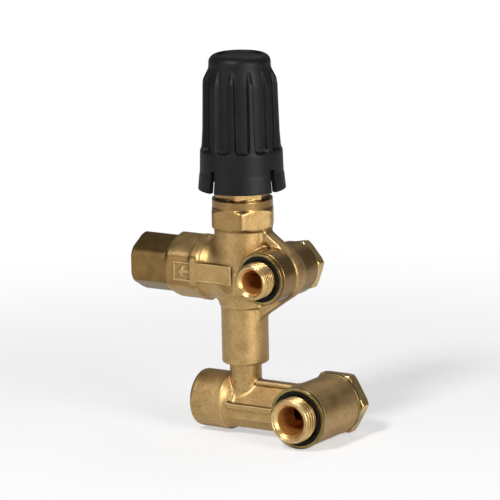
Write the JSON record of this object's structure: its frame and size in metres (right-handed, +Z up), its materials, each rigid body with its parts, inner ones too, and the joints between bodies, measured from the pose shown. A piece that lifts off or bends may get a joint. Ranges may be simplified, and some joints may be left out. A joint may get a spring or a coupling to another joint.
{
  "type": "pressure washer unloader valve",
  "caption": "Adjustable brass unloader valve with a black pressure knob, side outlet, banjo bolt to the pump outlet and a telescoping bypass manifold with its own inlet and banjo bolt.",
  "frame": {"origin": "middle of the base of the whole valve as it stands", "axes": "+Z up the valve axis to the knob, +X away from the outlet, both banjo threads point to -Y"},
  "size_m": [0.1076, 0.0464, 0.1775],
  "materials": {
    "knob_plastic": "black glass-filled nylon, fine moulded texture",
    "forged_brass": "hot-forged brass, shot-blasted skin, fine grain",
    "turned_brass": "bright turned brass",
    "machined_brass": "drawn hexagon bar, lightly brushed",
    "stainless_steel": "ground stainless steel",
    "spring_steel": "spring steel wire",
    "plated_seal_metal": "yellow-passivated plated steel ring",
    "seal_rubber": "black nitrile rubber",
    "backup_plastic": "off-white PTFE"
  },
  "bodies": {
    "body": {"valve_body": "forged_brass", "guide_nut": "turned_brass", "bypass_seat": "stainless_steel", "bypass_seat_ring": "seal_rubber", "outlet_adapter": "machined_brass", "outlet_ring": "seal_rubber", "check_spring": "spring_steel", "pressure_spring": "spring_steel", "upper_front_seal_ring": "plated_seal_metal", "upper_front_seal_lip": "seal_rubber", "upper_rear_seal_ring": "plated_seal_metal", "upper_rear_seal_lip": "seal_rubber"},
    "knob": {"knob": "knob_plastic", "knob_cap": "knob_plastic", "knob_insert": "turned_brass"},
    "spring_thrust": {"upper_spring_plate": "turned_brass", "thrust_ball": "stainless_steel"},
    "piston": {"piston": "stainless_steel", "piston_ring": "seal_rubber", "piston_backup_ring": "backup_plastic", "lower_spring_plate": "turned_brass"},
    "check": {"check_poppet": "turned_brass", "check_face_seal": "seal_rubber"},
    "upper_bolt": {"upper_bolt": "turned_brass"},
    "neck_rings": {"neck_ring_upper": "seal_rubber", "neck_ring_lower": "seal_rubber"},
    "manifold": {"bypass_manifold": "forged_brass", "lower_front_seal_ring": "plated_seal_metal", "lower_front_seal_lip": "seal_rubber", "lower_rear_seal_ring": "plated_seal_metal", "lower_rear_seal_lip": "seal_rubber"},
    "lower_bolt": {"lower_bolt": "turned_brass"}
  },
  "joints": [
    {"name": "knob_travel", "type": "slide", "parent": "body", "child": "spring_thrust", "axis": [0, 0, 1], "range_m": [-0.009, 0], "deforming": ["pressure_spring"]},
    {"name": "knob_turn", "type": "hinge", "parent": "spring_thrust", "child": "knob", "pos_m": [0.00066, 0.00085, 0.1563], "axis": [0, 0, 1], "range_deg": [-2160, 0]},
    {"name": "piston_lift", "type": "slide", "parent": "body", "child": "piston", "axis": [0, 0, 1], "range_m": [0, 0.002], "stiffness_N_per_m": 15000},
    {"name": "check_open", "type": "slide", "parent": "body", "child": "check", "axis": [-1, 0, 0], "range_m": [0, 0.003], "stiffness_N_per_m": 300, "deforming": ["check_spring"]},
    {"name": "upper_bolt_turn", "type": "hinge", "parent": "body", "child": "upper_bolt", "pos_m": [0.01906, 0.00085, 0.0771], "axis": [0, 1, 0], "continuous": true},
    {"name": "manifold_slide", "type": "slide", "parent": "body", "child": "neck_rings", "axis": [0, 0, 1], "range_m": [-0.006, 0.006]},
    {"name": "manifold_swivel", "type": "hinge", "parent": "neck_rings", "child": "manifold", "pos_m": [0.00066, 0.00085, 0.0463], "axis": [0, 0, 1], "continuous": true},
    {"name": "lower_bolt_turn", "type": "hinge", "parent": "manifold", "child": "lower_bolt", "pos_m": [0.03826, 0.00085, 0.0143], "axis": [0, 1, 0], "continuous": true}
  ],
  "couplings": [
    {"joint": "knob_turn", "follows": "knob_travel", "rad_per_m": 4188.8}
  ]
}
